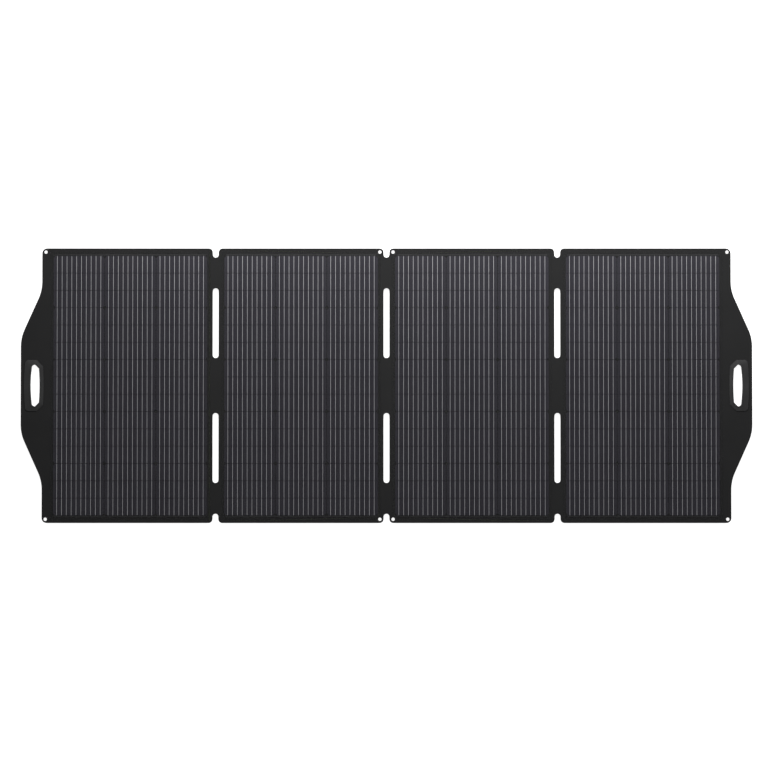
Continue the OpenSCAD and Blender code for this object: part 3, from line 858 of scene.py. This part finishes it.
def pouch_piece(cloth, outline):
    """Cloth that rises from a flat hem and is gathered, but calm beside the zip."""
    p = Pocket
    margin, hem_w, slope_w, depth, calm_w, edge_r = 24.0, 6.5, 15.0, 1.1, 16.0, 0.8
    rings = [moved_in(outline, d) for d in (0.4, 1.0, 6.0, 7.5, 9.0, 12.0, 16.0, 20.0)]
    columns = np.linspace(margin - p.half_w, p.half_w - margin, 64)
    rows = np.linspace(margin - p.half_h, p.half_h - margin, 40)
    corner, faces = triangulate(outline, [], rings, [], [(x, y) for x in columns for y in rows])
    edge = distance_to(corner, [outline])
    x, y = corner[:, 0], corner[:, 1]
    rise = np.clip((edge - hem_w) / slope_w, 0, 1)
    rise = rise * rise * (3 - 2 * rise)
    calm = np.clip(np.abs(y + p.y - p.zip_y) / calm_w - 0.5, 0, 1)
    height = p.hem + (p.high.z - p.crown - p.hem) * rise - depth * gathers(x, y) * rise * calm
    bottom = p.high.z - height + rim(edge, edge_r)
    bm = slab_mesh(corner + np.array([p.x, p.y]), faces, np.full(len(corner), p.high.z), bottom)
    return finish_piece("pocket_cloth", bm, cloth, "section_4", 50)


def hem_stitches_piece(thread, outline):
    """A row of stitches all round the hem."""
    p = Pocket
    inset, step, travelled = 3.5, 4.2, 0.0
    line = moved_in(outline, inset)
    bm = bmesh.new()
    for a, b in zip(line, line[1:] + line[:1]):
        a, b = Vector((*a, 0)), Vector((*b, 0))
        length = (b - a).length
        along = (b - a) / length
        while travelled < length:
            at = a + along * travelled + Vector((p.x, p.y, p.high.z - p.hem))
            stitch(bm, at, along, Vector((0, 0, -1)))
            travelled += step
        travelled -= length
    bmesh.ops.recalc_face_normals(bm, faces=bm.faces)
    return finish_piece("pocket_stitches", bm, thread, "section_4", 80)


def zip_tape_piece(tape):
    """Two strips of tape, one on each side of the teeth, that stand a little out of the pouch."""
    p = Pocket
    near, far, proud, sunk = 1.4, 7.0, 0.25, 0.3
    bm = bmesh.new()
    for side in (-1, 1):
        y0, y1 = sorted((p.zip_y + side * near, p.zip_y + side * far))
        box_between(bm, (p.x - p.zip_half, y0, p.crown - proud), (p.x + p.zip_half, y1, p.crown + sunk))
    return finish_piece("zip_tape", bm, tape, "section_4")


def zip_teeth_piece(metal):
    """Teeth from both sides in turn, each reaching a little past the middle."""
    p = Pocket
    pitch, tooth_w, past, reach, end_gap, taper = 1.9, 1.25, 0.7, 2.1, 2.0, 0.2
    bm = bmesh.new()
    for i in range(int(2 * (p.zip_half - end_gap) / pitch)):
        x = p.x - p.zip_half + end_gap + i * pitch
        side = 1 if i % 2 else -1
        y0, y1 = sorted((p.zip_y - side * past, p.zip_y + side * reach))
        box_between(bm, (x, y0, p.low.z), (x + tooth_w, y1, p.crown), taper)
    bmesh.ops.recalc_face_normals(bm, faces=bm.faces)
    return finish_piece("zip_teeth", bm, metal, "section_4")


def pocket_pieces(cloth, thread, tape, teeth_metal):
    """The cable pocket: a gathered pouch with a stitched hem, and its zip."""
    w, h, r = Pocket.half_w, Pocket.half_h, Pocket.corner_r
    outline = rounded([(-w, -h, r), (w, -h, r), (w, h, r), (-w, h, r)])
    pouch = pouch_piece(cloth, outline)
    stitches = hem_stitches_piece(thread, outline)
    zip_tape = zip_tape_piece(tape)
    teeth = zip_teeth_piece(teeth_metal)
    for piece in (pouch, stitches, zip_tape, teeth):
        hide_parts("cable_pocket")


# ---------- the whole object ----------

def build():
    face_cloth = cloth_material("face_cloth", (0.0180, 0.0180, 0.0182), (0.0270, 0.0270, 0.0275), 0.0009,
                                0.00009, 0.05)
    back_cloth = cloth_material("back_cloth", (0.016, 0.016, 0.017), (0.042, 0.042, 0.044), 0.0016,
                                0.00025, 0.12)
    pocket_cloth = cloth_material("pocket_cloth", (0.018, 0.018, 0.019), (0.050, 0.050, 0.052), 0.0014,
                                  0.00022, 0.15)
    tape = cloth_material("zip_tape_cloth", (0.010, 0.010, 0.011), (0.024, 0.024, 0.025), 0.0008,
                          0.00012, 0.1)
    moulded = plastic_material("moulded_plastic", (0.010, 0.010, 0.0105), (0.030, 0.030, 0.031), 0.42, 0.62)
    grip = plastic_material("grip_plastic", (0.022, 0.022, 0.0225), (0.046, 0.046, 0.047), 0.36, 0.55)
    rubber = plastic_material("rubber", (0.008, 0.008, 0.008), (0.018, 0.018, 0.018), 0.7, 0.9, 900, 0.00006)
    core = plastic_material("core_sheet", (0.07, 0.07, 0.07), (0.12, 0.12, 0.12), 0.4, 0.6)
    epoxy = plastic_material("epoxy", (0.012, 0.012, 0.012), (0.024, 0.024, 0.024), 0.3, 0.5)
    steel = metal_material("zinc_steel", (0.28, 0.28, 0.29), (0.5, 0.5, 0.51), 0.25, 0.45, 1.0)
    nickel = metal_material("dark_nickel", (0.16, 0.16, 0.165), (0.32, 0.32, 0.33), 0.25, 0.4, 1.0)
    tinned = metal_material("tinned_ribbon", (0.9, 0.888, 0.965), (0.98, 0.967, 1.0), 0.36, 0.45, 0.8,
                            (1, 0.05, 1))
    enamel = metal_material("black_enamel", (0.014, 0.014, 0.015), (0.03, 0.03, 0.031), 0.3, 0.45, 0.3)
    thread = plastic_material("thread", (0.05, 0.05, 0.052), (0.11, 0.11, 0.112), 0.6, 0.8, 3000, 0.00005)
    silicon, film, fibre, rod = cell_material(), film_material(), board_material(), powder_coat_material()

    cover_pieces(face_cloth, back_cloth)
    jumper_cables(rubber)
    ribbon_pieces(tinned, enamel)
    eyelet_pieces(enamel)
    leg_feet_pieces(rubber)
    rivet_pieces(steel)
    lid_rib_piece(moulded)
    pocket_pieces(pocket_cloth, thread, tape, nickel)
    for n in range(1, 5):
        paint(f"cells_{n}", silicon)
        paint(f"film_{n}", film)
        paint(f"board_{n}", fibre)
        paint(f"leg_{n}", rod)
        softened(f"leg_mounts_{n}", 0.0009, moulded, f"section_{n}")
    for side in ("left", "right"):
        paint(f"flap_core_{side}", core)
        paint(f"grip_screws_{side}", steel)
        for half in ("front", "back"):
            softened(f"grip_{half}_{side}", 0.0009, grip, f"flap_{side}")
    paint("junction_screws", steel)
    paint("bypass_diodes", epoxy)
    softened("junction_base", 0.0005, moulded, "section_4")
    softened("junction_lid", 0.0004, moulded, "section_4")
    softened("junction_gland", 0.0003, rubber, "section_4")
    softened("zip_slider", 0.0003, nickel, "zip_slider")


make_camera()
make_studio()
build()
